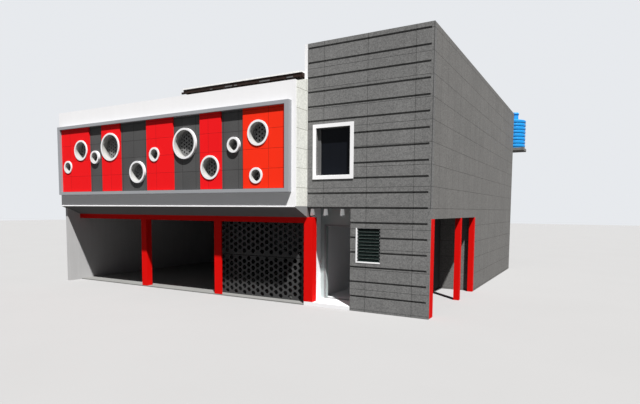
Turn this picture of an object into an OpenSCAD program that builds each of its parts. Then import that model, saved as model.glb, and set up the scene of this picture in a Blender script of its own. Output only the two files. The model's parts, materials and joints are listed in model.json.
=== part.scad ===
// Fire station: a wing with three engine bays under a framed and
// striped facade box, and a tall grooved tower with the entrance at its right.
// The front faces -Y. Drawn from the left end of the front, in millimetres,
// then set with its origin at the middle of its footprint, on the ground.

/* [Whole building] */
// Length of the front, wing and tower together
total_w = 16750; // [15500:50:19000]
// Depth from the plane of the columns to the rear face
building_d = 15600; // [13000:100:16500]
// Thickness of the outer walls
wall_t = 150; // [100:10:250]
// Thickness of the floor on the ground
floor_t = 40; // [40:5:120]
// Thickness of the roof slabs
roof_t = 150; // [100:10:250]

/* [Storeys] */
// Level of the underside of the tower's upper storey
ground_h = 3350; // [3150:10:3600]
// Level of the underside of the facade box at its front edge
box_bottom = 3420; // [3250:10:3700]
// Thickness of the first floor slab
slab_t = 200; // [150:10:260]
// Height of the wing's outer walls above its roof
wing_parapet = 300; // [200:10:400]
// Height of the tower's outer walls above its roof
tower_parapet = 200; // [100:10:300]

/* [Engine bays] */
// Clear width of the first bay, from the left wall
bay_one_w = 4090; // [3500:10:4300]
// Clear width of the second bay
bay_two_w = 3740; // [3300:10:4000]
// Width of a red column
column_w = 300; // [250:10:360]
// Depth of a red column from front to back
column_d = 280; // [250:10:360]
// Width of the flat red post in front of the bay screen
post_w = 340; // [280:10:380]
// Depth of the flat red post
post_d = 60; // [50:5:90]
// Width of the red column in the corner of the entrance, past the white fin
corner_column_w = 220; // [160:10:300]
// Level of the tops of the columns and of the beam
column_top = 3050; // [2950:10:3150]
// Height of the red beam over the bays
beam_h = 200; // [120:10:300]
// Depth of the red beam from front to back
beam_d = 240; // [150:10:240]

/* [Perforated screens] */
// Height of the lower panel of the bay screen
screen_lower_h = 1520; // [1300:10:1700]
// Gap between screen panels
screen_gap = 20; // [10:1:40]
// Thickness of a screen
screen_t = 30; // [20:5:80]
// Distance between neighbouring holes of a screen
screen_pitch = 240; // [220:5:320]
// Width of a screen hole across its corners
screen_hole = 190; // [80:5:195]
// Plain edge around the holes of a screen
screen_edge = 5; // [5:5:60]
// Distance from the column fronts to the bay screen
screen_setback = 400; // [380:5:480]
// Length of the bay screen past the flat post, into the second bay
screen_lap = 300; // [150:10:450]

/* [Facade box] */
// Projection of the box in front of the columns
box_d = 780; // [700:10:900]
// Level of the top of the box
box_top = 7500; // [7350:10:7650]
// Thickness of the front wall of the box
box_wall_t = 180; // [150:10:220]
// Thickness of the slab at the front lip of the box
lip_t = 30; // [20:5:60]
// Rise of the box's return wall from its front to the tower
return_rise = 190; // [0:10:200]
// Distance the left wall reaches in front of the columns, under the box
cheek_reach = 600; // [400:10:690]

/* [Panel tray] */
// Distance from the left end of the box to the tray
tray_left = 130; // [100:10:300]
// Distance from the right end of the box to the tray
tray_right = 140; // [80:10:250]
// Level of the underside of the tray
tray_bottom = 3890; // [3800:10:3950]
// Height of the tray
tray_h = 2960; // [2800:10:3060]
// Distance the tray stands proud of the box
tray_proud = 190; // [120:10:220]
// Width of the tray's border at its sides
tray_side = 160; // [100:10:200]
// Width of the tray's border at its top and bottom
tray_rim = 120; // [80:10:160]
// Thickness of the red and orange panels
red_panel_t = 100; // [60:5:110]
// Thickness of the grey panels
grey_panel_t = 40; // [30:5:55]

/* [Portholes] */
// Outer diameter of the large porthole tubes
tube_large = 1130; // [1000:10:1160]
// Outer diameter of the middle porthole tubes
tube_middle = 860; // [750:10:880]
// Outer diameter of the small porthole tubes
tube_small = 540; // [450:10:580]
// Wall thickness of a porthole tube
tube_wall = 70; // [40:5:80]
// Distance a tube stands proud of the red panels
tube_proud = 30; // [20:5:80]
// Distance between the holes of a porthole screen
porthole_pitch = 140; // [120:5:180]
// Width of a porthole screen's hole across its corners
porthole_hole = 80; // [50:5:100]
// Thickness of a porthole screen
porthole_screen_t = 20; // [12:2:30]
// Plain edge around the holes of a porthole screen
porthole_edge = 5; // [4:1:20]

/* [Tower] */
// Width of the tower, with the white fin
tower_w = 4430; // [4200:10:4800]
// Height of the tower
tower_h = 8820; // [8750:10:9200]
// Width of the white fin at the tower's left edge
fin_w = 120; // [80:5:160]
// Thickness of the tower's front wall
tower_wall_t = 200; // [150:10:260]
// Width of the tower's front wall at the ground
front_wall_w = 2660; // [2500:10:2800]
// Level of the lowest groove
groove_first = 500; // [400:10:550]
// Distance between grooves
groove_pitch = 480; // [475:1:482]
// Height of a groove
groove_h = 60; // [30:5:80]
// Depth of a groove
groove_depth = 50; // [15:5:60]
// Plain strip between the grooves and the right corner
groove_stop = 90; // [60:10:350]

/* [Upper window] */
// Distance from the fin to the window's frame
window_left = 225; // [200:5:400]
// Outer width of the window's frame
window_w = 1510; // [1300:10:1600]
// Level of the underside of the window's frame
window_bottom = 4325; // [4200:5:4400]
// Outer height of the window's frame
window_h = 1815; // [1650:5:1880]
// Width of the window's frame
window_frame = 120; // [90:5:150]
// Distance the window's frame stands proud of the wall
window_proud = 30; // [20:5:100]
// Thickness of a sheet of glass
glass_t = 12; // [8:1:20]

/* [Louvre window] */
// Distance from the edge of the front wall to the louvre window
louvre_left = 200; // [150:10:350]
// Width of the louvre window
louvre_w = 850; // [700:10:950]
// Level of the underside of the louvre window
louvre_bottom = 1600; // [1500:10:1700]
// Height of the louvre window
louvre_h = 1130; // [1050:10:1200]
// Width of the louvre window's frame at its left and bottom
louvre_frame = 40; // [25:5:60]
// Width of the louvre window's frame at its right and top
louvre_edge = 15; // [10:5:30]
// Distance the louvre window's frame stands proud of the wall
louvre_proud = 10; // [5:5:30]
// Depth of the louvre window's frame at its right and top
louvre_edge_d = 40; // [40:5:60]
// Number of glass blades
blade_count = 10; // [6:1:11]
// Depth of a glass blade
blade_w = 120; // [90:5:130]
// Thickness of a glass blade
blade_t = 8; // [6:1:10]
// Tilt of the glass blades
blade_tilt = 22; // [18:1:35]

/* [Entrance] */
// Depth of the entrance recess
recess_d = 970; // [850:10:1200]
// Thickness of the white entrance floor
entrance_floor_t = 130; // [100:5:160]
// Clear width of the doorway
doorway_w = 1000; // [850:10:1100]
// Clear height of the doorway
doorway_h = 2600; // [2200:10:2700]
// Distance from the recess's left wall to the doorway
doorway_left = 230; // [180:10:300]
// Width of the doorway's frame
door_frame_w = 60; // [40:5:80]
// Diameter of a downlight at its foot
downlight_d = 165; // [120:5:200]
// Height of a downlight
downlight_h = 250; // [180:10:280]
// Distance between the downlights
downlight_pitch = 630; // [500:10:660]
// Distance from the tower's left wall to the first downlight
downlight_left = 100; // [100:5:160]
// Distance from the last downlight to the edge of the front wall
downlight_side = 400; // [300:10:450]

/* [Side porch] */
// Depth of the open porch under the tower's right side
porch_w = 1420; // [1200:10:1550]
// Length of the open porch from the front wall to its end wall
porch_l = 6000; // [5850:50:7000]
// Width of a red porch column
porch_column = 200; // [180:10:300]
// Distance from the front of the tower to the first porch column
porch_column_first = 3750; // [3000:50:3800]
// Distance between the porch columns
porch_column_pitch = 2250; // [2000:50:2300]
// Height of the beam over the porch
porch_beam_h = 300; // [200:10:400]
// Width of the red post at the tower's corner
corner_post_w = 300; // [200:10:340]
// Depth of the red post at the tower's corner
corner_post_d = 370; // [250:10:400]
// Thickness of the concrete facing in front of the red corner post
facing_t = 70; // [60:5:100]

/* [Raised roof] */
// Length of the raised roof, from the tower to its free end
raised_roof_w = 5400; // [4500:50:6500]
// Depth of the raised roof
raised_roof_d = 6000; // [4500:100:7500]
// Level of the top of the raised roof's walls
raised_wall_top = 7750; // [7720:10:8000]
// Overhang of the raised roof past its walls
raised_eaves = 400; // [200:10:500]
// Thickness of the raised roof
raised_roof_t = 50; // [50:5:120]
// Depth of the brown boards under the raised roof
raised_boards_t = 130; // [50:5:150]

/* [Water tank] */
// Diameter of the water tank
tank_d = 1240; // [900:10:1400]
// Height of the tank's ribbed body
tank_h = 1560; // [1200:10:1700]
// Height of the dome and the lid over the ribbed body
tank_top_h = 510; // [300:10:600]
// Number of ribs around the tank
tank_ribs = 8; // [4:1:9]
// Distance a rib stands out
tank_rib = 25; // [15:5:40]
// Distance the tank reaches past the side of the tower
tank_out = 560; // [300:10:650]
// Distance from the top of the tower down to the tank's platform
tank_drop = 1900; // [1500:10:2300]
// Thickness of the tank's platform
platform_t = 150; // [100:10:200]

/* [Hidden] */

round_fn = 64;
screen_fn = 6;
cut = 20;
fit = 0.3;
boards_inset = 30;

// Places along the front, from the left end
tower_x = total_w - tower_w;
clad_x = tower_x + fin_w;
front_wall_x = total_w - front_wall_w;
column_b_x = wall_t + bay_one_w;
column_c_x = column_b_x + column_w + bay_two_w;
porch_x = total_w - porch_w;
rear_y = building_d - wall_t;

// Levels
beam_bottom = column_top - beam_h;
porch_bottom = ground_h - porch_beam_h;
slab_bottom = box_bottom - slab_t;
wing_roof_top = box_top - wing_parapet;
tank_level = tower_h - tank_drop;
tube_y = -box_d - red_panel_t - tube_proud;
front_y = min(tube_y, -box_d - tray_proud);
overall_w = total_w + tank_out;
overall_back_y = building_d + tank_d;
box_back_y = box_wall_t - box_d;
louvre_inside = [louvre_w - louvre_frame - louvre_edge, louvre_h - louvre_frame - louvre_edge];

// The striped panels fill the tray
panel_x = tray_left + tray_side;
panel_w = clad_x - tray_right - tray_side - panel_x;
panel_z = tray_bottom + tray_rim;
panel_h = tray_h - 2 * tray_rim;

// Right edge of each stripe, red first, as a share of the panels' width
stripe_ends = [0.158, 0.227, 0.323, 0.452, 0.572, 0.686, 0.769, 0.852, 1];

// Each porthole: share of the panels' width, share of their height, size
portholes = [
    [0.036, 0.40, 0], [0.113, 0.65, 1], [0.189, 0.53, 0], [0.273, 0.667, 2],
    [0.406, 0.274, 1], [0.489, 0.51, 0], [0.622, 0.629, 2], [0.726, 0.29, 1],
    [0.817, 0.562, 0], [0.906, 0.688, 1], [0.899, 0.164, 0]];
tube_sizes = [tube_small, tube_middle, tube_large];

function tube_outer(hole) = tube_sizes[hole[2]];
function tube_centre(hole) =
    [panel_x + hole[0] * panel_w, panel_z + hole[1] * panel_h];

// Outline over the tank's body: share of its radius, share of the height
tank_top = [[0.95, 0.04], [0.75, 0.1], [0.36, 0.17], [0.34, 0.68], [0.38, 0.7], [0.38, 0.88],
    [0.33, 0.95], [0.15, 0.99], [0, 1]];

// Moves a part from the left end of the front to the middle of the footprint
module place() {
    translate([-overall_w / 2, -(front_y + overall_back_y) / 2, 0]) children();
}

// A block between two corners
module block(low, high) {
    translate(low) cube(high - low);
}

// Something upright in the XZ plane, given a thickness towards the rear
module upright(y, thickness) {
    translate([0, y + thickness, 0]) rotate([90, 0, 0])
        linear_extrude(thickness) children();
}

// Something drawn as a section in the YZ plane, run along X
module along_x(x, length) {
    translate([x, 0, 0]) rotate([90, 0, 90]) linear_extrude(length) children();
}

// Holes in a triangular grid that fit whole inside a rectangle
module hole_grid(width, height, pitch, hole, edge) {
    step_x = pitch * sin(60);
    columns = floor((width - hole - 2 * edge) / step_x);
    rows = floor((height - hole - 2 * edge) / pitch - 0.5);
    left = (width - columns * step_x) / 2;
    low = (height - (rows + 0.5) * pitch) / 2;
    for (i = [0:columns]) for (j = [0:rows])
        translate([left + i * step_x, low + (j + (i % 2) / 2) * pitch])
            circle(d = hole, $fn = screen_fn);
}

module perforated_panel(width, height) {
    difference() {
        square([width, height]);
        hole_grid(width, height, screen_pitch, screen_hole, screen_edge);
    }
}

// Wing

module left_wall_lower() {
    slope = (box_bottom - lip_t - column_top) / box_d;
    cheek_top = column_top + cheek_reach * slope;
    color("silver") place() along_x(0, wall_t)
        polygon([[-cheek_reach, 0], [building_d, 0], [building_d, box_bottom - fit],
            [column_d, box_bottom - fit], [column_d, column_top - fit], [0, column_top - fit],
            [-cheek_reach, cheek_top - fit]]);
}

module left_wall_upper() {
    color("white") place()
        block([0, box_back_y, box_bottom], [wall_t, building_d, box_top]);
}

module bay_floor() {
    color("darkgrey") place() block([wall_t, 0, 0], [tower_x, rear_y, floor_t]);
}

module red_column(x, y, width, depth, low) {
    block([x, y, low], [x + width, y + depth, column_top]);
}

module red_columns() {
    color("red") place() {
        red_column(column_b_x, 0, column_w, column_d, floor_t);
        red_column(column_c_x, 0, post_w, post_d, floor_t);
        red_column(tower_x, 0, fin_w + corner_column_w, column_d, entrance_floor_t);
    }
}

module red_beam() {
    color("firebrick") place() {
        block([wall_t, 0, beam_bottom], [column_b_x, beam_d, column_top]);
        difference() {
            block([column_b_x + column_w, 0, beam_bottom], [tower_x, beam_d, column_top]);
            block([column_c_x, -cut, beam_bottom - cut],
                [column_c_x + post_w, post_d, column_top + cut]);
        }
    }
}

module bay_screen(low, height) {
    x = column_c_x - screen_lap;
    color("dimgray") place() translate([x, 0, low])
        upright(screen_setback, screen_t) perforated_panel(tower_x - x, height);
}

module bay_screen_lower() {
    bay_screen(floor_t, screen_lower_h);
}

module bay_screen_upper() {
    low = floor_t + screen_lower_h + screen_gap;
    bay_screen(low, slab_bottom - low);
}

module wing_floor_slab() {
    color("grey") place()
        block([wall_t, column_d, slab_bottom], [tower_x, rear_y, box_bottom]);
}

module cantilever_slab() {
    color("dimgray") place() along_x(0, clad_x)
        polygon([[-box_d, box_bottom], [-box_d, box_bottom - lip_t], [0, column_top],
            [column_d, column_top], [column_d, box_bottom]]);
}

module facade_wall() {
    color("white") place() difference() {
        block([0, -box_d, box_bottom], [clad_x, box_back_y, box_top]);
        upright(-box_d - cut, box_wall_t + 2 * cut) for (hole = portholes)
            translate(tube_centre(hole)) circle(d = tube_outer(hole), $fn = round_fn);
    }
}

module box_return_wall() {
    color("ivory") place() along_x(clad_x - wall_t, wall_t)
        polygon([[box_back_y, box_bottom], [0, box_bottom], [0, box_top + return_rise],
            [box_back_y, box_top]]);
}

module panel_tray() {
    color("darkgrey") place()
        translate([tray_left, 0, tray_bottom])
        upright(-box_d - tray_proud, tray_proud) difference() {
            square([clad_x - tray_left - tray_right, tray_h]);
            translate([tray_side, tray_rim]) square([panel_w, panel_h]);
        }
}

// One stripe of cladding, from one share of the width to another
module stripe(from, to, thickness) {
    upright(-box_d - thickness, thickness) difference() {
        translate([panel_x + from * panel_w, panel_z])
            square([(to - from) * panel_w, panel_h]);
        for (hole = portholes) translate(tube_centre(hole))
            circle(d = tube_outer(hole), $fn = round_fn);
    }
}

module stripes(which, thickness) {
    for (i = which) stripe(i == 0 ? 0 : stripe_ends[i - 1], stripe_ends[i], thickness);
}

module red_panels() {
    color("red") place() stripes([0, 2, 4, 6], red_panel_t);
}

module grey_panels() {
    color("dimgray") place() stripes([1, 3, 5, 7], grey_panel_t);
}

module orange_panel() {
    color("orangered") place() stripes([8], red_panel_t);
}

module porthole_tubes() {
    length = box_back_y - tube_y;
    color("white") place() upright(tube_y, length) for (hole = portholes)
        translate(tube_centre(hole)) difference() {
            circle(d = tube_outer(hole), $fn = round_fn);
            circle(d = tube_outer(hole) - 2 * tube_wall, $fn = round_fn);
        }
}

module porthole_screens() {
    color("dimgray") place() upright(box_back_y - 2 * porthole_screen_t, porthole_screen_t)
        for (hole = portholes) translate(tube_centre(hole)) {
            inner = tube_outer(hole) - 2 * tube_wall;
            difference() {
                circle(d = inner, $fn = round_fn);
                porthole_grid(inner);
            }
        }
}

// Holes in a triangular grid that fit whole inside a circle
module porthole_grid(inner) {
    step_x = porthole_pitch * sin(60);
    reach = inner / 2 - porthole_hole / 2 - porthole_edge;
    count = ceil(inner / porthole_pitch);
    for (i = [-count:count]) for (j = [-count:count]) {
        x = i * step_x;
        z = (j + (abs(i) % 2) / 2) * porthole_pitch;
        if (norm([x, z]) < reach) translate([x, z])
            circle(d = porthole_hole, $fn = screen_fn);
    }
}

module wing_rear_wall() {
    color("gainsboro") place()
        block([wall_t, rear_y, 0], [tower_x, building_d, box_top]);
}

module wing_roof() {
    color("lightgrey") place()
        block([wall_t, box_back_y, wing_roof_top - roof_t], [tower_x, rear_y, wing_roof_top]);
}

module raised_roof_walls() {
    x = tower_x - raised_roof_w + raised_eaves;
    y = raised_eaves / 2;
    color("ivory") place() difference() {
        block([x, y, wing_roof_top], [tower_x, raised_roof_d - raised_eaves, raised_wall_top]);
        block([x + wall_t, y + wall_t, wing_roof_top - cut],
            [tower_x + cut, raised_roof_d - raised_eaves - wall_t, raised_wall_top + cut]);
    }
}

module raised_roof_plate(low, high, inset) {
    block([tower_x - raised_roof_w + inset, inset - raised_eaves / 2, low],
        [tower_x, raised_roof_d - inset, high]);
}

module raised_roof_boards() {
    color("saddlebrown") place() raised_roof_plate(raised_wall_top,
        raised_wall_top + raised_boards_t, boards_inset);
}

module raised_roof() {
    low = raised_wall_top + raised_boards_t;
    color("white") place() raised_roof_plate(low, low + raised_roof_t, 0);
}

// Tower

module tower_left_wall_lower() {
    color("grey") place()
        block([tower_x, column_d, 0], [clad_x, rear_y, box_bottom]);
}

module tower_left_wall_upper() {
    color("white") place()
        block([tower_x, 0, box_bottom], [clad_x, rear_y, tower_h]);
}

// Grooves between two levels of the groove count, cut into the front face
module grooves(first, last, from, to) {
    for (i = [first:last]) {
        z = groove_first + i * groove_pitch - groove_h / 2;
        block([from, -cut, z], [to, groove_depth, z + groove_h]);
    }
}

module tower_front_lower() {
    groove_end = total_w - groove_stop;
    louvre_x = front_wall_x + louvre_left;
    color("grey") place() difference() {
        block([front_wall_x, 0, 0], [total_w, tower_wall_t, ground_h]);
        block([total_w - corner_post_w, facing_t, -cut],
            [total_w + cut, tower_wall_t + cut, porch_bottom]);
        grooves(0, 5, front_wall_x - cut, groove_end);
        block([louvre_x, -cut, louvre_bottom],
            [louvre_x + louvre_w, tower_wall_t + cut, louvre_bottom + louvre_h]);
    }
}

module tower_front_upper() {
    groove_end = total_w - groove_stop;
    window_x = clad_x + window_left;
    window_end = window_x + window_w - window_frame;
    color("grey") place() difference() {
        block([clad_x, 0, ground_h], [total_w, tower_wall_t, tower_h]);
        grooves(6, 7, clad_x - cut, groove_end);
        grooves(8, 11, window_end + window_frame / 2, groove_end);
        grooves(12, 17, clad_x - cut, groove_end);
        block([window_x + window_frame, -cut, window_bottom + window_frame],
            [window_end, tower_wall_t + cut, window_bottom + window_h - window_frame]);
    }
}

module tower_right_upper() {
    color("grey") place() union() {
        block([total_w - wall_t, tower_wall_t, ground_h], [total_w, rear_y, tower_h]);
        block([total_w - wall_t, tower_wall_t, porch_bottom],
            [total_w, tower_wall_t + porch_l, ground_h + cut]);
    }
}

module porch_columns() {
    color("red") place() {
        block([total_w - corner_post_w, facing_t, 0],
            [total_w, facing_t + corner_post_d, porch_bottom]);
        for (i = [0:1])
            translate([total_w - porch_column, porch_column_first + i * porch_column_pitch, 0])
            cube([porch_column, porch_column, porch_bottom]);
    }
}

module porch_back_wall() {
    color("dimgray") place()
        block([porch_x - wall_t, tower_wall_t, 0], [porch_x, rear_y, ground_h]);
}

module tower_right_lower() {
    color("grey") place() {
        block([porch_x, tower_wall_t + porch_l, 0],
            [total_w - wall_t, tower_wall_t + porch_l + wall_t, ground_h]);
        block([total_w - wall_t, tower_wall_t + porch_l, 0], [total_w, rear_y, ground_h]);
    }
}

module tower_ground_floor() {
    color("darkgrey") place() {
        block([clad_x, recess_d + wall_t, 0], [porch_x - wall_t, rear_y, entrance_floor_t]);
        block([front_wall_x + wall_t, tower_wall_t, 0],
            [porch_x - wall_t, recess_d + wall_t, entrance_floor_t]);
    }
}

module tower_floor_slab() {
    color("grey") place()
        block([clad_x, tower_wall_t, ground_h], [total_w - wall_t, rear_y, ground_h + slab_t]);
}

module tower_rear_wall() {
    color("grey") place() block([tower_x, rear_y, 0], [total_w, building_d, tower_h]);
}

module tower_roof() {
    high = tower_h - tower_parapet;
    color("darkgrey") place()
        block([clad_x, tower_wall_t, high - roof_t], [total_w - wall_t, rear_y, high]);
}

// Entrance

module entrance_floor() {
    color("white") place() difference() {
        block([tower_x, 0, 0], [front_wall_x, recess_d + wall_t, entrance_floor_t]);
        block([tower_x - cut, column_d, -cut],
            [clad_x, recess_d + wall_t + cut, entrance_floor_t + cut]);
    }
}

module entrance_wall() {
    x = clad_x + doorway_left;
    color("dimgray") place() difference() {
        block([clad_x, recess_d, entrance_floor_t],
            [front_wall_x + wall_t, recess_d + wall_t, ground_h]);
        block([x, recess_d - cut, entrance_floor_t - cut],
            [x + doorway_w, recess_d + wall_t + cut, entrance_floor_t + doorway_h]);
    }
}

module entrance_side_wall() {
    color("dimgray") place()
        block([front_wall_x, tower_wall_t, 0], [front_wall_x + wall_t, recess_d, ground_h]);
}

module door_frame() {
    color("darkgrey") place()
        translate([clad_x + doorway_left, 0, entrance_floor_t])
        upright(recess_d - door_frame_w / 2, door_frame_w / 2) difference() {
            translate([-door_frame_w, 0])
                square([doorway_w + 2 * door_frame_w, doorway_h + door_frame_w]);
            translate([0, -cut]) square([doorway_w, doorway_h + cut]);
        }
}

module downlights() {
    last_x = front_wall_x - downlight_side;
    color("white") place()
        for (x = [clad_x + downlight_left, last_x - downlight_pitch, last_x])
        translate([x, tower_wall_t, ground_h - downlight_h])
        cylinder(h = downlight_h, d1 = downlight_d, d2 = downlight_d * 2 / 3, $fn = round_fn);
}

// Windows

module window_frame() {
    color("white") place() translate([clad_x + window_left, 0, window_bottom]) {
        upright(-window_proud, window_proud) difference() {
            square([window_w, window_h]);
            translate([window_frame, window_frame])
                square([window_w - 2 * window_frame, window_h - 2 * window_frame]);
        }
    }
}

module window_glass() {
    color("black") place() translate([clad_x + window_left, 0, window_bottom])
        translate([window_frame, 0, window_frame]) upright(tower_wall_t - 2 * glass_t, glass_t)
        square([window_w - 2 * window_frame, window_h - 2 * window_frame]);
}

module louvre_frame() {
    back = tower_wall_t / 2;
    color("white") place()
        translate([front_wall_x + louvre_left, 0, louvre_bottom]) union() {
        upright(-louvre_proud, back + louvre_proud) difference() {
            square([louvre_w, louvre_h]);
            translate([louvre_frame, louvre_frame]) square([louvre_w, louvre_h]);
        }
        upright(back - louvre_edge_d, louvre_edge_d) difference() {
            square([louvre_w, louvre_h]);
            translate([louvre_frame, louvre_frame]) square(louvre_inside);
        }
    }
}

module louvre_blades() {
    reach = blade_w * cos(blade_tilt) + blade_t * sin(blade_tilt) + 2 * fit;
    pitch = (louvre_inside[1] - reach) / (blade_count - 1);
    color("darkslategray") place()
        translate([front_wall_x + louvre_left + louvre_frame, tower_wall_t / 4,
            louvre_bottom + louvre_frame])
        for (i = [0:blade_count - 1]) translate([0, 0, reach / 2 + i * pitch])
            rotate([90 - blade_tilt, 0, 0])
            translate([0, -blade_w / 2, -blade_t / 2])
            cube([louvre_inside[0], blade_w, blade_t]);
}

// Water tank on a platform behind the tower

module tank_platform() {
    color("grey") place() block([overall_w - tank_d, building_d, tank_level - platform_t],
        [overall_w, building_d + tank_d, tank_level]);
}

module water_tank() {
    shell = tank_d / 2 - tank_rib;
    rib_h = tank_h / tank_ribs;
    color("deepskyblue") place()
        translate([overall_w - tank_d / 2, building_d + tank_d / 2, tank_level])
        rotate_extrude($fn = round_fn) polygon(concat([[0, 0], [shell, 0]],
            [for (i = [0:tank_ribs - 1]) for (p = [[0, 0.3], [1, 0.4], [1, 0.9], [0, 1]])
                [shell + p[0] * tank_rib, (i + p[1]) * rib_h]],
            [for (p = tank_top) [shell * p[0], tank_h + tank_top_h * p[1]]]));
}

left_wall_lower();
left_wall_upper();
bay_floor();
red_columns();
red_beam();
bay_screen_lower();
bay_screen_upper();
wing_floor_slab();
cantilever_slab();
facade_wall();
box_return_wall();
panel_tray();
red_panels();
grey_panels();
orange_panel();
porthole_tubes();
porthole_screens();
wing_rear_wall();
wing_roof();
raised_roof_walls();
raised_roof_boards();
raised_roof();
tower_left_wall_lower();
tower_left_wall_upper();
tower_front_lower();
tower_front_upper();
tower_right_upper();
porch_columns();
porch_back_wall();
tower_right_lower();
tower_ground_floor();
tower_floor_slab();
tower_rear_wall();
tower_roof();
entrance_floor();
entrance_wall();
entrance_side_wall();
door_frame();
downlights();
window_frame();
window_glass();
louvre_frame();
louvre_blades();
tank_platform();
water_tank();
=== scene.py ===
import json
import math

import bmesh
import bpy
from mathutils import Matrix, Vector


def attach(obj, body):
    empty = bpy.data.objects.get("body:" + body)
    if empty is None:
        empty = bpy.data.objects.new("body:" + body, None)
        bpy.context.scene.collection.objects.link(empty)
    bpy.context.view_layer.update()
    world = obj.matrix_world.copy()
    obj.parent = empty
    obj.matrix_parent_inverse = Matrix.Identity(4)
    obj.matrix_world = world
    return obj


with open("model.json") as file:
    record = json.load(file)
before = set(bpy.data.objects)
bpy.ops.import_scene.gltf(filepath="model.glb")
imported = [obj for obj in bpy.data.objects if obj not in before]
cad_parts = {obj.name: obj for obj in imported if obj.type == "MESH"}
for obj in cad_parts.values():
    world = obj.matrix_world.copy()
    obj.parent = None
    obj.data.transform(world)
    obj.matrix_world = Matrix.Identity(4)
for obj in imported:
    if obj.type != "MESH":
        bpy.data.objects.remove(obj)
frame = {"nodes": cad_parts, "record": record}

bl_info = {
    "name": "Fire station",
    "version": (1, 0, 0),
    "blender": (4, 5, 0),
    "location": "View3D > Sidebar > Fire station",
    "description": "Finishes and small parts of a fire station",
    "category": "Object",
}

# Places are written in millimetres, as in the drawing of the part: x from the left end of the
# front, y back from the fronts of the columns, z up from the ground. The frame is in metres,
# about the middle of the model.
MM = 1000
HALF_W = 8655.0
MIDDLE_Y = 7935.0

# Rounding of small edges, in millimetres
FINE_BEVEL = 3
THIN_BEVEL = 2

# Depth of full relief in a finish, in metres
BUMP_DEPTH = 0.004
SPECKLE_BUMP = 0.1


def along(x):
    """Millimetres from the left end of the front, to the frame's x."""
    return (x - HALF_W) / MM


def inward(y):
    """Millimetres back from the columns' fronts, to the frame's y."""
    return (y - MIDDLE_Y) / MM


def place(x, y, z):
    """A point in millimetres, to metres in the frame."""
    return Vector((along(x), inward(y), z / MM))


def rgba(color):
    return tuple(color) + (1.0,)


# Node trees


class Tree:
    """A short way to write a node tree."""

    def __init__(self, tree):
        self.tree = tree

    def node(self, kind, sockets=None, **options):
        made = self.tree.nodes.new(kind)
        for key, value in options.items():
            setattr(made, key, value)
        for key, value in (sockets or {}).items():
            self.feed(made.inputs[key], value)
        return made

    def feed(self, socket, value):
        """Links another node's socket, or sets a plain value."""
        if isinstance(value, bpy.types.NodeSocket):
            self.tree.links.new(value, socket)
        else:
            socket.default_value = value

    def math(self, operation, a, b=0.0, c=0.0, clamp=False):
        made = self.node("ShaderNodeMath", {0: a, 1: b, 2: c},
                         operation=operation, use_clamp=clamp)
        return made.outputs[0]

    def mix(self, factor, a, b, blend="MIX"):
        made = self.node("ShaderNodeMix", {0: factor, 6: a, 7: b},
                         data_type="RGBA", blend_type=blend)
        return made.outputs[2]

    def noise(self, spot, scale, detail=3.0, roughness=0.5):
        made = self.node("ShaderNodeTexNoise", {
            "Vector": spot, "Scale": scale, "Detail": detail, "Roughness": roughness})
        return made.outputs["Fac"]

    def object_place(self):
        """Where a spot lies on the object."""
        return self.node("ShaderNodeTexCoord").outputs["Object"]

    def vary(self, value, amount, base):
        """The base, lowered or raised by up to half the amount as the value goes from 0 to 1."""
        return self.math("MULTIPLY_ADD", self.math("SUBTRACT", value, 0.5), amount, base)

    def tinted(self, color, tone):
        """The color, made darker or lighter by the tone."""
        shade = self.node("ShaderNodeCombineColor", {0: tone, 1: tone, 2: tone}).outputs[0]
        return self.mix(1.0, color, shade, "MULTIPLY")

    def group(self, name, sockets):
        """Places a shared node group and returns its outputs."""
        shared = bpy.data.node_groups[name]
        return self.node("ShaderNodeGroup", sockets, node_tree=shared).outputs

    def surface(self, sockets):
        """Ends a material's tree with its shader."""
        shader = self.node("ShaderNodeBsdfPrincipled", sockets)
        self.node("ShaderNodeOutputMaterial", {"Surface": shader.outputs[0]})


def new_group(name, inputs, outputs):
    """Starts a shader node group with the given sockets."""
    tree = bpy.data.node_groups.new(name, "ShaderNodeTree")
    kinds = {"float": "NodeSocketFloat", "color": "NodeSocketColor"}
    for label, kind, value in inputs:
        socket = tree.interface.new_socket(label, in_out="INPUT", socket_type=kinds[kind])
        socket.default_value = value
    for label, kind in outputs:
        tree.interface.new_socket(label, in_out="OUTPUT", socket_type=kinds[kind])
    work = Tree(tree)
    given = work.node("NodeGroupInput").outputs
    out = work.node("NodeGroupOutput").inputs
    return work, given, out


def build_weathering():
    """Patchy colour, fine grain and rain streaks of a wall that has stood outside."""
    work, given, out = new_group(
        "weathering",
        [("Color", "color", (0.5, 0.5, 0.5, 1)), ("Patches", "float", 0.1),
         ("Grain", "float", 0.1), ("Streaks", "float", 0.0), ("Grain Scale", "float", 60.0),
         ("Roughness", "float", 0.6)],
        [("Color", "color"), ("Roughness", "float"), ("Height", "float")])
    spot = work.object_place()
    drawn_down = (3.0, 3.0, 0.18)
    streak_spot = work.node("ShaderNodeMapping", {"Vector": spot, "Scale": drawn_down}).outputs[0]
    patches = work.noise(spot, scale=0.9, detail=4.0)
    grain = work.noise(spot, scale=given["Grain Scale"], detail=2.0, roughness=0.7)
    streaks = work.noise(streak_spot, scale=2.2)
    tone = work.vary(patches, given["Patches"], 1.0)
    tone = work.vary(grain, given["Grain"], tone)
    tone = work.vary(streaks, given["Streaks"], tone)
    work.feed(out["Color"], work.tinted(given["Color"], tone))
    rough = work.vary(patches, 0.3, given["Roughness"])
    work.feed(out["Roughness"], work.math("MULTIPLY_ADD", grain, 0.06, rough, clamp=True))
    work.feed(out["Height"], work.math("MULTIPLY_ADD", patches, 0.2, grain))


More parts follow.
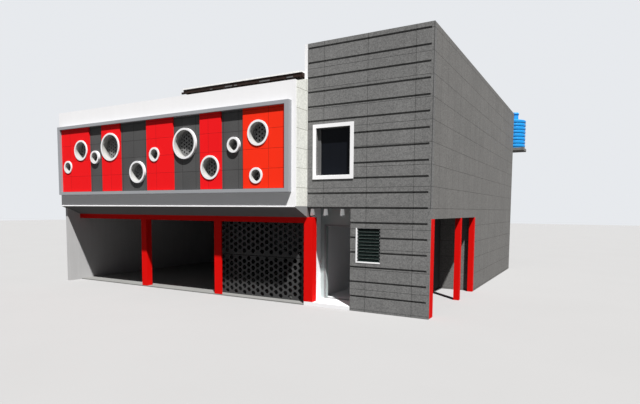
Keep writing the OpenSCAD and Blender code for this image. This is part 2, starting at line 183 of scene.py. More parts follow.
def build_joints():
    """Straight joints between slabs or tiles, and a small change of tone from one to the next."""
    work, given, out = new_group(
        "joints",
        [("Color", "color", (0.5, 0.5, 0.5, 1)), ("Joint Color", "color", (0.1, 0.1, 0.1, 1)),
         ("Along Y", "float", 0.0), ("Pitch Across", "float", 1.0), ("Pitch Up", "float", 1.0),
         ("Start Across", "float", 0.0), ("Start Up", "float", 0.0), ("Width", "float", 0.006),
         ("Stagger", "float", 0.0), ("Tone Change", "float", 0.05)],
        [("Color", "color"), ("Height", "float")])
    x, y, z = work.node("ShaderNodeSeparateXYZ", {0: work.object_place()}).outputs
    across = work.node("ShaderNodeMix", {0: given["Along Y"], 2: x, 3: y}).outputs[0]
    across = work.math("SUBTRACT", across, given["Start Across"])
    up = work.math("SUBTRACT", z, given["Start Up"])
    row = work.math("FLOOR", work.math("DIVIDE", up, given["Pitch Up"]))
    shift = work.math("MULTIPLY", row, given["Stagger"])
    shift = work.math("MULTIPLY", shift, given["Pitch Across"])
    across = work.math("ADD", across, shift)
    column = work.math("FLOOR", work.math("DIVIDE", across, given["Pitch Across"]))
    half_width = work.math("MULTIPLY", given["Width"], 0.5)
    near = []
    for value, pitch in ((across, "Pitch Across"), (up, "Pitch Up")):
        away = work.math("PINGPONG", value, work.math("MULTIPLY", given[pitch], 0.5))
        near.append(work.math("LESS_THAN", away, half_width))
    joint = work.math("MAXIMUM", near[0], near[1])
    cell = work.node("ShaderNodeCombineXYZ", {0: column, 1: row}).outputs[0]
    chance = work.node("ShaderNodeTexWhiteNoise", {"Vector": cell}).outputs["Value"]
    toned = work.tinted(given["Color"], work.vary(chance, given["Tone Change"], 1.0))
    work.feed(out["Color"], work.mix(joint, toned, given["Joint Color"]))
    work.feed(out["Height"], work.math("SUBTRACT", 1.0, joint))


def build_speckle():
    """Small dark and light chips, as in exposed stone or cast concrete."""
    work, given, out = new_group(
        "speckle",
        [("Color", "color", (0.5, 0.5, 0.5, 1)), ("Amount", "float", 0.3),
         ("Scale", "float", 30.0)],
        [("Color", "color"), ("Height", "float")])
    cells = work.node("ShaderNodeTexVoronoi", {"Vector": work.object_place(),
                                               "Scale": given["Scale"]})
    chip = work.node("ShaderNodeSeparateColor", {0: cells.outputs["Color"]}).outputs[0]
    work.feed(out["Color"], work.tinted(given["Color"], work.vary(chip, given["Amount"], 1.0)))
    work.feed(out["Height"], chip)


# Materials


def new_material(name):
    """An empty material, and its tree to fill."""
    material = bpy.data.materials.new(name)
    material.use_nodes = True
    material.node_tree.nodes.clear()
    return material, Tree(material.node_tree)


def finish(name, color, roughness=0.6, patches=0.1, grain=0.1, streaks=0.0, grain_scale=60.0,
           bump=0.15, joints=None, joint_bump=0.6, speckle=None, shine=0.4, glow=0.0,
           flat_top_darkening=None):
    """A procedural finish: weathering, and if asked joints, speckle and a darker colour on flat
    tops.
    """
    material, work = new_material(name)
    source = rgba(color)
    heights = []
    if speckle:
        chips = work.group("speckle", {"Color": source, **speckle})
        source = chips["Color"]
        heights.append((chips["Height"], SPECKLE_BUMP))
    worn = work.group("weathering", {
        "Color": source, "Patches": patches, "Grain": grain, "Streaks": streaks,
        "Grain Scale": grain_scale, "Roughness": roughness})
    source = worn["Color"]
    heights.append((worn["Height"], bump))
    if joints:
        grid = work.group("joints", {"Color": source, **joints})
        source = grid["Color"]
        heights.append((grid["Height"], joint_bump))
    # Faces that look upward take a darker colour
    if flat_top_darkening:
        upright = work.node("ShaderNodeNewGeometry").outputs["Normal"]
        level = work.node("ShaderNodeSeparateXYZ", {0: upright}).outputs[2]
        flat_top = work.math("GREATER_THAN", level, 0.7)
        source = work.mix(flat_top, source, work.mix(1.0, source, rgba(flat_top_darkening), "MULTIPLY"))
    relief = {}
    for height, strength in heights:
        sockets = {"Height": height, "Strength": strength, "Distance": BUMP_DEPTH, **relief}
        relief = {"Normal": work.node("ShaderNodeBump", sockets).outputs[0]}
    work.surface({"Base Color": source, "Roughness": worn["Roughness"],
                  "Specular IOR Level": shine, "Emission Color": (1.0, 1.0, 1.0, 1.0),
                  "Emission Strength": glow, **relief})
    return material


def glass(name, color):
    """Dark tinted glass with little shine and a faint film of dust."""
    material, work = new_material(name)
    worn = work.group("weathering", {
        "Color": rgba(color), "Patches": 0.5, "Grain": 0.1, "Streaks": 0.3,
        "Grain Scale": 20.0, "Roughness": 0.04})
    work.surface({"Base Color": worn["Color"], "Roughness": worn["Roughness"],
                  "Specular IOR Level": 0.045})
    return material


def stage_floor(name, seen, bounced):
    """A pale matt floor that throws less light back than it shows."""
    material, work = new_material(name)
    cloud = work.noise(work.object_place(), scale=0.3, detail=2.0)
    cloud = work.math("MULTIPLY_ADD", cloud, 0.04, 0.98)
    camera_ray = work.node("ShaderNodeLightPath").outputs["Is Camera Ray"]
    plain = work.mix(camera_ray, rgba(bounced), rgba(seen))
    work.surface({"Base Color": work.tinted(plain, cloud), "Roughness": 0.9,
                  "Specular IOR Level": 0.1})
    return material


def jointed(color, across, up, start_across, start_up, width, tone, along_y=0.0, stagger=0.0):
    """Joints with the given pitches, starts and width, all in metres."""
    return {"Joint Color": rgba(color), "Along Y": along_y, "Pitch Across": across,
            "Pitch Up": up, "Start Across": start_across, "Start Up": start_up,
            "Width": width, "Stagger": stagger, "Tone Change": tone}


def tiled(color, across, width, tone):
    """Joints of the facade's tiles, whose rows all start from one corner."""
    return jointed(color, across=across, up=0.66, start_across=along(11460), start_up=4.02,
                   width=width, tone=tone)


TILE = {"roughness": 0.7, "patches": 0.05, "grain": 0.03, "shine": 0.12}
PAINT = {"roughness": 0.8, "patches": 0.03, "grain": 0.02, "streaks": 0.04,
         "grain_scale": 50.0, "bump": 0.08}
RENDER = {"roughness": 0.85, "patches": 0.14, "grain": 0.1, "streaks": 0.1,
          "grain_scale": 80.0, "bump": 0.3, "shine": 0.2}
ROUGH_RENDER = {**RENDER, "patches": 0.2, "grain": 0.14}
CONCRETE = {"roughness": 0.85, "patches": 0.3, "grain": 0.45, "streaks": 0.2,
            "grain_scale": 38.0, "bump": 0.5, "shine": 0.2}
METAL_MESH = {"patches": 0.14, "grain": 0.08, "bump": 0.1}
SIDE_CONCRETE = (0.158, 0.155, 0.151)
WALL_GREY = (0.44, 0.44, 0.445)


def facade_looks(colors):
    """The finishes of the facade box and of its panels, tray and portholes."""
    return {
        "red_tile": {**TILE, "color": colors.red_tiles,
                     "joints": tiled((0.34, 0.002, 0.004), across=1.32, width=0.010, tone=0.04)},
        "grey_tile": {**TILE, "color": colors.grey_tiles, "patches": 0.4, "grain": 0.5,
                      "grain_scale": 24.0, "shine": 0.2,
                      "joints": tiled((0.026, 0.026, 0.026), across=0.66, width=0.016,
                                      tone=0.12)},
        "orange_tile": {**TILE, "color": colors.orange_tiles,
                        "joints": tiled((0.40, 0.012, 0.004), across=1.32, width=0.014,
                                        tone=0.04)},
        "tray_panel": {"color": (0.292, 0.303, 0.325), "patches": 0.06, "grain": 0.03,
                       "streaks": 0.06},
        "white_paint": {**PAINT, "color": colors.white_paint},
        # Grey of the tubes' linings, darker than the white paint they cover: painted shade inside
        # the tubes
        "tube_inside_shade": {**PAINT, "color": (0.36, 0.36, 0.35), "patches": 0.06, "grain": 0.03},
        "porthole_mesh": {**METAL_MESH, "color": (0.17, 0.17, 0.17), "shine": 0.3},
        "cream_block": {
            "color": (0.69, 0.70, 0.66), "roughness": 0.85, "patches": 0.2, "grain": 0.3,
            "streaks": 0.1, "grain_scale": 24.0, "bump": 0.5,
            "speckle": {"Amount": 0.22, "Scale": 22.0},
            "joints": jointed((0.36, 0.36, 0.32), across=1.36, up=0.645,
                              start_across=inward(-70), start_up=3.395, width=0.018, tone=0.08,
                              along_y=1.0, stagger=0.5)},
        "brown_boards": {
            "color": (0.021, 0.011, 0.008), "roughness": 0.7, "patches": 0.3, "grain": 0.2,
            "grain_scale": 30.0, "bump": 0.3, "shine": 0.2,
            "joints": jointed((0.01, 0.006, 0.004), across=0.14, up=9.0, start_across=0.0,
                              start_up=3.0, width=0.008, tone=0.3)},
        "white_sheet": {
            "color": (0.82, 0.82, 0.82), "roughness": 0.5, "patches": 0.08, "grain": 0.03,
            "grain_scale": 30.0, "bump": 0.05, "flat_top_darkening": (0.5, 0.49, 0.47),
            "joints": jointed((0.66, 0.66, 0.66), across=0.3, up=9.0, start_across=0.0,
                              start_up=3.0, width=0.01, tone=0.03)},
    }


def wall_looks(colors):
    """The finishes of the tower and of the plain walls and floors."""
    side = {"across": 0.82, "up": 0.66, "start_up": 0.07, "width": 0.011, "tone": 0.05}
    side_joint = (0.06, 0.056, 0.053)
    side_wall = {**CONCRETE, "color": SIDE_CONCRETE, "speckle": {"Amount": 0.4, "Scale": 32.0}}
    return {
        "grooved_concrete": {
            **CONCRETE, "color": colors.tower_front, "grain": 0.5, "joint_bump": 0.2,
            "speckle": {"Amount": 0.45, "Scale": 32.0},
            "joints": jointed((0.035, 0.035, 0.035), across=1.565, up=0.66,
                              start_across=along(13070), start_up=0.07, width=0.012,
                              tone=0.06)},
        "plain_concrete": {**side_wall, "joints": jointed(
            side_joint, start_across=inward(-30), along_y=1.0, **side)},
        "rear_concrete": {**side_wall, "joints": jointed(
            side_joint, start_across=along(12440), **side)},
        "rear_render": {**RENDER, "color": WALL_GREY, "patches": 0.3, "grain": 0.12,
                        "streaks": 0.2, "grain_scale": 90.0,
                        "joints": jointed((0.2, 0.2, 0.2), across=4.1, up=3.39,
                                          start_across=along(0), start_up=0.0, width=0.03,
                                          tone=0.05)},
        "plain_render": {**RENDER, "color": WALL_GREY, "streaks": 0.12, "grain_scale": 90.0},
        "dark_render": {**ROUGH_RENDER, "color": (0.12, 0.12, 0.122)},
        "entrance_render": {**RENDER, "color": (0.36, 0.41, 0.41)},
        "soffit_render": {**RENDER, "color": (0.20, 0.21, 0.21), "streaks": 0.0},
        # Near-black finish of the porch's back wall: painted shade of the dark porch
        "porch_painted_shade": {**ROUGH_RENDER, "color": (0.05, 0.05, 0.05)},
        "floor_concrete": {"color": (0.20, 0.20, 0.195), "roughness": 0.8, "patches": 0.3,
                           "grain": 0.14, "grain_scale": 24.0, "bump": 0.2, "shine": 0.2,
                           "speckle": {"Amount": 0.1, "Scale": 40.0}},
    }


def fitting_looks(colors):
    """The finishes of columns, screens, frames, lamps and tank."""
    return {
        "red_paint": {"color": colors.red_paint, "roughness": 0.7, "patches": 0.08,
                      "grain": 0.03, "streaks": 0.04, "grain_scale": 40.0, "bump": 0.1,
                      "shine": 0.1},
        "lamp_shell": {"color": (0.70, 0.70, 0.70), "patches": 0.03, "grain": 0.02,
                       "shine": 0.1, "glow": 0.18},
        "dark_screen": {**METAL_MESH, "color": (0.042, 0.042, 0.043), "roughness": 0.7,
                        "shine": 0.2},
        "grey_frame": {"color": (0.21, 0.215, 0.22), "roughness": 0.5, "patches": 0.06,
                       "grain": 0.04},
        # Lighter strips on the louvre blades' edges: painted highlights
        "blade_highlight": {"color": (0.18, 0.215, 0.205), "roughness": 0.3, "patches": 0.3,
                       "grain_scale": 8.0},
        "blue_plastic": {"color": colors.tank, "roughness": 0.4, "grain": 0.05,
                         "streaks": 0.08},
    }


GLASS = {"dark_glass": (0.006, 0.007, 0.010), "green_glass": (0.006, 0.011, 0.010)}

# The finishes made here, filled by the first operator. The materials that came with the model
# are plain colours of the same names.
FINISHES = {}

# Nodes of the model that wear another finish than the one named for their slot
OTHER_FINISH = {
    "porthole_screens": "porthole_mesh",
    "entrance_wall": "entrance_render",
    "entrance_side_wall": "entrance_render",
    "tower_left_wall_lower": "white_paint",
    "tower_right_lower": "plain_concrete",
    "tower_rear_wall": "rear_concrete",
    "wing_rear_wall": "rear_render",
    "downlights": "lamp_shell",
    "louvre_blades": "green_glass",
    "tower_floor_slab": "soffit_render",
    # The porch's back wall wears painted shade
    "porch_back_wall": "porch_painted_shade",
    "tower_ground_floor": "white_paint",
}


# Meshes


def circle(radius, segments):
    """Points round a circle, as pairs."""
    turns = [2 * math.pi * i / segments for i in range(segments)]
    return [(radius * math.cos(turn), radius * math.sin(turn)) for turn in turns]


def add_object(name, data):
    """Puts an object in the scene."""
    made = bpy.data.objects.new(name, data)
    bpy.context.scene.collection.objects.link(made)
    return made


class Builder:
    """Collects bevelled blocks, bars and turned shapes into one mesh, in millimetres."""

    def __init__(self):
        self.mesh = bmesh.new()

    def _bevelled(self, verts, bevel):
        edges = list(dict.fromkeys(edge for vert in verts for edge in vert.link_edges))
        bmesh.ops.bevel(self.mesh, geom=edges, offset=bevel / MM, segments=2, profile=0.7,
                        affect="EDGES", clamp_overlap=True)

    def _rings(self, rows, closed=False):
        """Joins rows of points that go round an axis, and the last to the first if closed."""
        rings = [[self.mesh.verts.new(point) for point in row] for row in rows]
        for near, far in zip(rings, rings[1:] + (rings[:1] if closed else [])):
            count = len(near)
            for i in range(count):
                j = (i + 1) % count
                self.mesh.faces.new([near[i], near[j], far[j], far[i]])
        return rings

    def block(self, low, high, bevel=FINE_BEVEL):
        """A block between two opposite corners."""
        a, b = place(*low), place(*high)
        made = bmesh.ops.create_cube(self.mesh, size=1.0)["verts"]
        middle = (a + b) / 2
        size = b - a
        for v in made:
            v.co = Vector([middle[i] + v.co[i] * size[i] for i in range(3)])
        self._bevelled(made, bevel)

    def prism(self, outline, start, end, bevel=FINE_BEVEL, sideways=False):
        """An outline of (x, z) points from y = start to y = end, or sideways: (y, z) along x."""
        front, back = ([self.mesh.verts.new(place(run, a, z) if sideways else place(a, run, z))
                        for a, z in outline] for run in (start, end))
        self.mesh.faces.new(front)
        self.mesh.faces.new(list(reversed(back)))
        count = len(outline)
        for i in range(count):
            j = (i + 1) % count
            self.mesh.faces.new([front[j], front[i], back[i], back[j]])
        self._bevelled(front + back, bevel)

    def sleeve(self, centre, outer, inner, start, end, segments=64):
        """A round sleeve about an axis that runs from front to back."""
        x, z = centre
        profile = ((outer, start), (outer, end), (inner, end), (inner, start))
        self._rings([[place(x + a, y, z + b) for a, b in circle(radius, segments)]
                     for radius, y in profile], closed=True)

    def turned(self, centre, profile, segments=48):
        """A profile of (radius, z) points turned about an upright axis."""
        x, y = centre
        rings = self._rings([[place(x + a, y + b, z) for a, b in circle(radius, segments)]
                             for radius, z in profile])
        self.mesh.faces.new(list(reversed(rings[0])))
        self.mesh.faces.new(rings[-1])

    def done(self, name, finish_name, smooth=False):
        """Ends the mesh as a piece of the building, in its finish."""
        bmesh.ops.recalc_face_normals(self.mesh, faces=self.mesh.faces)
        data = bpy.data.meshes.new(name)
        self.mesh.to_mesh(data)
        self.mesh.free()
        if smooth:
            data.shade_smooth()
        data.materials.append(FINISHES[finish_name])
        piece = add_object(name, data)
        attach(piece, "root")


# Settings


class StationSizes(bpy.types.PropertyGroup):
    """Sizes of the small parts."""

    sash_w: bpy.props.FloatProperty(
        name="Sash width", description="Width of the bars over and under the pane",
        default=0.03, unit="LENGTH", subtype="DISTANCE")
    stile_w: bpy.props.FloatProperty(
        name="Stile width", description="Width of the dark uprights beside the pane",
        default=0.1, unit="LENGTH", subtype="DISTANCE")
    rafter_pitch: bpy.props.FloatProperty(
        name="Rafter pitch", description="Distance from one rafter end to the next",
        default=0.64, min=0.1, unit="LENGTH", subtype="DISTANCE")
    rib_pitch: bpy.props.FloatProperty(
        name="Rib pitch", description="Distance from one rib of the roof sheet to the next",
        default=0.3, min=0.1, unit="LENGTH", subtype="DISTANCE")
    trim_bevel: bpy.props.FloatProperty(
        name="Trim bevel", description="Rounding of the edges of window bars and skirting",
        default=0.004, unit="LENGTH", subtype="DISTANCE")


class StationColors(bpy.types.PropertyGroup):
    """Colours of the main finishes."""

    red_tiles: bpy.props.FloatVectorProperty(
        name="Red tiles", description="Colour of the red stripes of the facade",
        default=(0.79, 0.007, 0.010), min=0.0, max=1.0, subtype="COLOR")
    grey_tiles: bpy.props.FloatVectorProperty(
        name="Grey tiles", description="Colour of the grey stripes of the facade",
        default=(0.070, 0.070, 0.071), min=0.0, max=1.0, subtype="COLOR")
    orange_tiles: bpy.props.FloatVectorProperty(
        name="Orange tiles", description="Colour of the orange stripe of the facade",
        default=(0.86, 0.026, 0.006), min=0.0, max=1.0, subtype="COLOR")
    red_paint: bpy.props.FloatVectorProperty(
        name="Red paint", description="Colour of the columns and the beam",
        default=(0.62, 0.002, 0.001), min=0.0, max=1.0, subtype="COLOR")
    white_paint: bpy.props.FloatVectorProperty(
        name="White paint", description="Colour of the facade box, the tubes and the window frames",
        default=(0.80, 0.80, 0.82), min=0.0, max=1.0, subtype="COLOR")
    tower_front: bpy.props.FloatVectorProperty(
        name="Tower front", description="Colour of the grooved front of the tower",
        default=(0.155, 0.155, 0.155), min=0.0, max=1.0, subtype="COLOR")
    tank: bpy.props.FloatVectorProperty(
        name="Tank", description="Colour of the water tank",
        default=(0.008, 0.25, 0.62), min=0.0, max=1.0, subtype="COLOR")


class StationLight(bpy.types.PropertyGroup):
    """Strengths of the light on the stage."""

    sun_strength: bpy.props.FloatProperty(
        name="Sun strength", description="Strength of the key light", default=7.7)
    sun_size: bpy.props.FloatProperty(
        name="Sun size", description="Angular size of the key light, larger is softer",
        default=math.radians(1.5), subtype="ANGLE")
    room_light: bpy.props.FloatProperty(
        name="Room light", description="Power of the soft light behind the doorway",
        default=5.0)
    fill_strength: bpy.props.FloatProperty(
        name="Fill strength", description="Strength of the light from all around", default=0.1)


GROUPS = {"station_sizes": StationSizes, "station_colors": StationColors,
          "station_light": StationLight}


# Steps


class FIRE_OT_finishes(bpy.types.Operator):
    """Makes the shared node groups and gives every carried piece its finish"""

    bl_idname = "fire_station.finishes"
    bl_label = "Finishes"

    def execute(self, context):
        build_weathering()
        build_joints()
        build_speckle()
        colors = context.scene.station_colors
        for looks in (facade_looks(colors), wall_looks(colors), fitting_looks(colors)):
            for name, look in looks.items():
                FINISHES[name] = finish(name, **look)
        for name, color in GLASS.items():
            FINISHES[name] = glass(name, color)
        for entry in frame["record"]["subparts"]:
            finish_name = OTHER_FINISH.get(entry["node"], entry["material_slot"])
            for slot in frame["nodes"][entry["node"]].material_slots:
                slot.material = FINISHES[finish_name]
        return {"FINISHED"}


class FIRE_OT_window(bpy.types.Operator):
    """Adds the dark stiles, the bars and the sill of the upper window"""

    bl_idname = "fire_station.window"
    bl_label = "Upper window"

    def execute(self, context):
        sizes = context.scene.station_sizes
        bar, stile, bevel = sizes.sash_w * MM, sizes.stile_w * MM, sizes.trim_bevel * MM
        left, right, low, high = 12785, 14055, 4445, 6020
        glass_y, gap, stile_depth, bar_depth = 176, 1, 40, 24
        stiles = Builder()
        for a, b in ((left, left + stile), (right - stile, right)):
            stiles.block((a, glass_y - stile_depth, low), (b, glass_y - gap, high), bevel)
        stiles.done("window_stiles", "dark_render")

        bars = Builder()
        for a, b in ((low, low + bar), (high - bar, high)):
            bars.block((left + stile, glass_y - bar_depth, a),
                       (right - stile, glass_y - gap, b), bevel)
        bars.done("window_sash", "dark_screen")

        end_gap, nose_y, sill_h = 4, -24, 12
        sill = Builder()
        sill.block((left + end_gap, nose_y, low - gap),
                   (right - end_gap, glass_y - stile_depth, low + sill_h))
        sill.done("window_sill", "white_paint")
        return {"FINISHED"}


class FIRE_OT_louvres(bpy.types.Operator):
    """Adds the clips at the ends of the louvre blades, and lighter strips on the blades' edges that
    are painted highlights
    """

    bl_idname = "fire_station.louvres"
    bl_label = "Louvre window"

    def execute(self, context):
        left, right, low, high = 14330, 15125, 1640, 2715
        count, reach, half_blade = 10, 115.0, 55.5
        gap, clip_w, half_clip, clip_front, clip_back = 2, 24, 22, 30, 70
        edge_front, edge_back, edge_under, edge_over, edge_bevel = 22, 28, 1, 4, 1
        inner_left, inner_right = left + gap + clip_w, right - gap - clip_w
        pitch = (high - low - reach) / (count - 1)
        clips = Builder()
        edges = Builder()
        for i in range(count):
            z = low + reach / 2 + i * pitch
            under, over = z - half_clip, z + half_clip
            for x in (left + gap, inner_right):
                clips.prism([(x, under), (x + clip_w, under), (x + clip_w, over), (x, over)],
                            clip_front, clip_back)
            # A lighter strip on each blade's edge, a painted highlight
            edges.block((inner_left, edge_front, z - half_blade - edge_under),
                        (inner_right, edge_back, z - half_blade + edge_over), edge_bevel)
        clips.done("louvre_clips", "grey_frame")
        edges.done("blade_highlight_strips", "blade_highlight")
        return {"FINISHED"}


class FIRE_OT_entrance(bpy.types.Operator):
    """Adds the skirting, the threshold and the lamps' rims in the entrance"""

    bl_idname = "fire_station.entrance"
    bl_label = "Entrance"

    def execute(self, context):
        bevel = context.scene.station_sizes.trim_bevel * MM
        floor, wall_y = 130, 970
        board_y, board_h = wall_y - 15, 90
        boards = (((12440, board_y), (12610, wall_y)),
                  ((13730, board_y), (14090, wall_y)),
                  ((14076, 200), (14090, board_y)))
        skirting = Builder()
        for near, far in boards:
            skirting.block((*near, floor), (*far, floor + board_h), bevel)
        skirting.done("entrance_skirting", "entrance_render")

        door_left, door_right, before_wall, in_wall, threshold_h = 12672, 13668, 40, 155, 12
        threshold = Builder()
        threshold.block((door_left, wall_y - before_wall, floor),
                        (door_right, wall_y + in_wall, floor + threshold_h))
        threshold.done("threshold", "grey_frame")

        lamp_y, lamp_low, lamp_high = 200, 3100, 3350
        lower_rim = ((84, 2), (86, 6), (86, 20), (82, 28))
        upper_rim = ((60, -12), (62, -8), (62, -1), (58, 0))
        rims = Builder()
        for x in (12540, 13060, 13690):
            for level, rim in ((lamp_low, lower_rim), (lamp_high, upper_rim)):
                rims.turned((x, lamp_y), [(radius, level + rise) for radius, rise in rim])
        rims.done("lamp_rims", "grey_frame", smooth=True)
        return {"FINISHED"}


class FIRE_OT_tower_trim(bpy.types.Operator):
    """Adds the dark joint where the tower's front meets its right side"""

    bl_idname = "fire_station.tower_trim"
    bl_label = "Tower corner"

    def execute(self, context):
        left, right, low, high = 16733, 16748, 3352, 8814
        proud, sunk, bevel = 1.2, 1, 0.4
        joint = Builder()
        joint.block((left, -proud, low), (right, sunk, high), bevel)
        joint.done("corner_joint", "dark_screen")
        return {"FINISHED"}


class FIRE_OT_box_trim(bpy.types.Operator):
    """Adds the drip strip, the plate on the end of the box's slab and the facing over it"""

    bl_idname = "fire_station.box_trim"
    bl_label = "Facade box trim"

    def execute(self, context):
        box_right = 12440
        drip = Builder()
        drip.block((0, -792, 3392), (box_right, -772, 3422))
        drip.done("drip_strip", "white_paint")

        # Outlines of (y, z) points on the right end of the box
        start, end = box_right - 4, box_right + 6
        slab_end = [(-780, 3421), (-780, 3391), (-4, 3053), (-4, 3421)]
        return_wall = [(-700, 3423), (-2, 3423), (-2, 7684), (-600, 7497), (-700, 7497)]
        cheek = Builder()
        cheek.prism(slab_end, start, end, THIN_BEVEL, sideways=True)
        cheek.done("slab_cheek", "grey_frame")
        facing = Builder()
        facing.prism(return_wall, start, end, THIN_BEVEL, sideways=True)
        facing.done("return_facing", "cream_block")
        return {"FINISHED"}


class FIRE_OT_sleeves(bpy.types.Operator):
    """Adds a grey lining inside each porthole tube, darker than the tubes' white paint: painted
    shade inside the tubes
    """

    bl_idname = "fire_station.sleeves"
    bl_label = "Porthole linings"

    def execute(self, context):
        # Each porthole: middle along the front, level, outer diameter
        small, middling, large = 540, 860, 1130
        portholes = (
            (717, 5098, small), (1629, 5778, middling), (2530, 5452, small),
            (3525, 5824, large), (5101, 4755, middling), (6085, 5397, small),
            (7661, 5721, large), (8893, 4799, middling), (9971, 5539, small),
            (11026, 5881, middling), (10943, 4456, small))
        tube_wall, lining_wall, front_y, back_y = 69, 5, -908, -602
        lining = Builder()
        for x, z, diameter in portholes:
            outer = diameter / 2 - tube_wall
            lining.sleeve((x, z), outer, outer - lining_wall, front_y, back_y)
        # The linings' darker grey is painted shade inside the white tubes
        lining.done("tube_shade_linings", "tube_inside_shade", smooth=True)
        return {"FINISHED"}


class FIRE_OT_roof(bpy.types.Operator):
    """Adds the rafter ends, the grey eaves panels and the ribs of the raised roof"""

    bl_idname = "fire_station.roof"
    bl_label = "Raised roof"

    def execute(self, context):
        sizes = context.scene.station_sizes
        boards_z, sheet_z, roof_left, roof_right = 7750, 7930, 7000, 12300
        first_rafter, rafter_w, rafter_front, rafter_back = roof_left + 100, 60, -165, 200
        rafters = Builder()
        for x in range(first_rafter, roof_right, round(sizes.rafter_pitch * MM)):
            rafters.block((x, rafter_front, boards_z - 40),
                          (x + rafter_w, rafter_back, boards_z + 2), bevel=4)
        rafters.block((6790, -120, boards_z), (6935, -60, boards_z + 70), bevel=6)
        rafters.done("rafter_ends", "brown_boards")

        # Each panel: left end, right end, height
        panels_across = ((8294, 8416, 30), (9010, 9342, 46), (9434, 9572, 40),
                         (10563, 11008, 50), (11706, 11963, 46))
        panel_front, panel_back, panel_foot = -176, -169, 3
        panels = Builder()
        for left, right, height in panels_across:
            panels.block((left, panel_front, boards_z + panel_foot),
                         (right, panel_back, boards_z + height), THIN_BEVEL)
        panels.done("eaves_panels", "dark_render")

        rib_w, rib_slope, rib_h, rib_front, rib_back = 50, 12, 24, -45, 5995
        foot, top = sheet_z - 1, sheet_z + rib_h
        ribs = Builder()
        for x in range(roof_left, roof_right, round(sizes.rib_pitch * MM)):
            ribs.prism([(x, foot), (x + rib_w, foot), (x + rib_w - rib_slope, top),
                        (x + rib_slope, top)], rib_front, rib_back)
        ribs.done("roof_ribs", "white_sheet")
        return {"FINISHED"}


class FIRE_OT_screen_trim(bpy.types.Operator):
    """Adds the frame round the two panels of the bay screen"""

    bl_idname = "fire_station.screen_trim"
    bl_label = "Bay screen trim"

    def execute(self, context):
        left, right, low, high = 7980, 12320, 40, 3220
        rail_h, rail_front, post_w, post_front, back, gap = 36, 390, 30, 388, 400, 2
        bars = Builder()
        for z in (low, high - rail_h):
            bars.block((left, rail_front, z), (right, back, z + rail_h))
        for x in (left, right - post_w):
            bars.block((x, post_front, low + gap), (x + post_w, back, high - gap))
        bars.done("screen_frame", "dark_screen")
        return {"FINISHED"}


class FIRE_OT_tank(bpy.types.Operator):
    """Adds the ring of the water tank's lid"""

    bl_idname = "fire_station.tank"
    bl_label = "Water tank"

    def execute(self, context):
        lid_ring = [(222, 8842), (232, 8848), (236, 8862), (236, 8904), (230, 8918),
                    (222, 8924)]
        lid = Builder()
        lid.turned((16690, 16220), lid_ring)
        lid.done("tank_lid", "blue_plastic", smooth=True)
        return {"FINISHED"}


def add_floor():
    """A wide pale floor just under the building."""
    reach, level = 120.0, -0.002
    corners = [(-reach, -reach, level), (reach, -reach, level), (reach, reach, level),
               (-reach, reach, level)]
    data = bpy.data.meshes.new("floor")
    data.from_pydata(corners, [], [(0, 1, 2, 3)])
    data.materials.append(stage_floor("stage_floor", (0.34, 0.34, 0.345), (0.13, 0.13, 0.13)))
    floor = add_object("floor", data)


def add_lights(light):
    """The sun, and a soft light in the room behind the doorway."""
    sun_data = bpy.data.lights.new("sun", "SUN")
    sun_data.energy = light.sun_strength
    sun_data.angle = light.sun_size
    sun_data.color = (1.0, 0.985, 0.96)
    towards = Vector((0.37, -0.36, 0.86)).normalized()
    sun = add_object("sun", sun_data)
    sun.rotation_euler = towards.to_track_quat("Z", "Y").to_euler()

    room_data = bpy.data.lights.new("room_light", "AREA")
    room_data.shape = "RECTANGLE"
    room_data.size, room_data.size_y = 1.6, 6.0
    room_data.energy = light.room_light
    room = add_object("room_light", room_data)
    room.location = place(14000, 5000, 3330)
    room.visible_camera = False


def add_world(scene, strength):
    """A weak even light from all around, before a pale background."""
    world = bpy.data.worlds.new("studio")
    scene.world = world
    world.use_nodes = True
    world.node_tree.nodes.clear()
    work = Tree(world.node_tree)
    path = work.node("ShaderNodeLightPath").outputs
    seen = work.math("MAXIMUM", path["Is Camera Ray"], path["Is Glossy Ray"])
    seen = work.math("MAXIMUM", seen, path["Is Transmission Ray"])
    fill = work.node("ShaderNodeBackground", {"Color": (0.86, 0.92, 1.0, 1),
                                              "Strength": strength})
    plain = work.node("ShaderNodeBackground", {"Color": (0.80, 0.82, 0.85, 1), "Strength": 1.0})
    both = work.node("ShaderNodeMixShader", {0: seen, 1: fill.outputs[0], 2: plain.outputs[0]})
    work.node("ShaderNodeOutputWorld", {"Surface": both.outputs[0]})


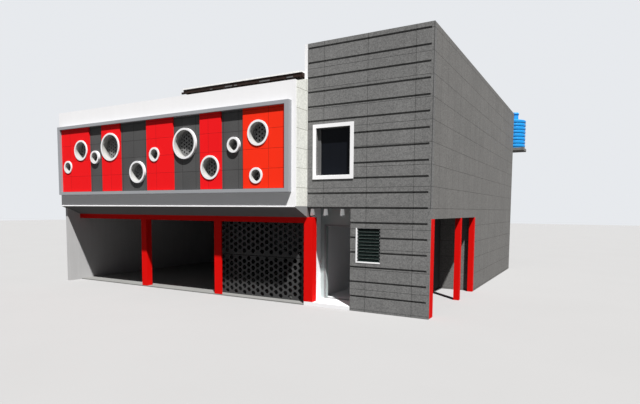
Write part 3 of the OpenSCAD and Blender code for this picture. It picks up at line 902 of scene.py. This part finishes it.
def add_camera(scene):
    """The camera at the angle of the photograph."""
    lens = bpy.data.cameras.new("camera")
    lens.sensor_fit = "HORIZONTAL"
    lens.sensor_width = 36.0
    lens.lens = 27.605
    lens.shift_y = 0.070
    lens.clip_end = 500.0
    spot = Vector((12.4258, -22.3804, 3.3071))
    right = Vector((0.87135, 0.49061, 0.00711))
    up = Vector((-0.04304, 0.06199, 0.99715))
    back = Vector((0.48877, -0.86917, 0.07513))
    turn = Matrix((right, up, back)).transposed().to_4x4()
    camera = add_object("camera", lens)
    camera.matrix_world = Matrix.Translation(spot) @ turn
    scene.camera = camera


class FIRE_OT_stage(bpy.types.Operator):
    """Adds the pale floor, the light and the camera"""

    bl_idname = "fire_station.stage"
    bl_label = "Stage"

    def execute(self, context):
        scene = context.scene
        add_floor()
        add_lights(scene.station_light)
        add_world(scene, scene.station_light.fill_strength)
        add_camera(scene)
        scene.view_settings.view_transform = "Standard"
        return {"FINISHED"}


class FIRE_PT_station(bpy.types.Panel):
    """Settings and steps of the fire station"""

    bl_label = "Fire station"
    bl_idname = "FIRE_PT_station"
    bl_space_type = "VIEW_3D"
    bl_region_type = "UI"
    bl_category = "Fire station"

    def draw(self, context):
        for name, group in GROUPS.items():
            for key in group.__annotations__:
                self.layout.prop(getattr(context.scene, name), key)
        for operator in OPERATORS:
            self.layout.operator(operator.bl_idname)


OPERATORS = (
    FIRE_OT_finishes, FIRE_OT_window, FIRE_OT_louvres, FIRE_OT_entrance, FIRE_OT_tower_trim,
    FIRE_OT_box_trim, FIRE_OT_sleeves, FIRE_OT_roof, FIRE_OT_screen_trim, FIRE_OT_tank,
    FIRE_OT_stage)
CLASSES = (*GROUPS.values(), *OPERATORS, FIRE_PT_station)


def register():
    for item in CLASSES:
        bpy.utils.register_class(item)
    for name, group in GROUPS.items():
        setattr(bpy.types.Scene, name, bpy.props.PointerProperty(type=group))


def unregister():
    for name in GROUPS:
        delattr(bpy.types.Scene, name)
    for item in reversed(CLASSES):
        bpy.utils.unregister_class(item)


def main():
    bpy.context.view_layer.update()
    register()
    for operator in OPERATORS:
        family, name = operator.bl_idname.split(".")
        if getattr(getattr(bpy.ops, family), name)() != {"FINISHED"}:
            raise RuntimeError("step failed: " + operator.bl_idname)


if __name__ == "__main__":
    main()
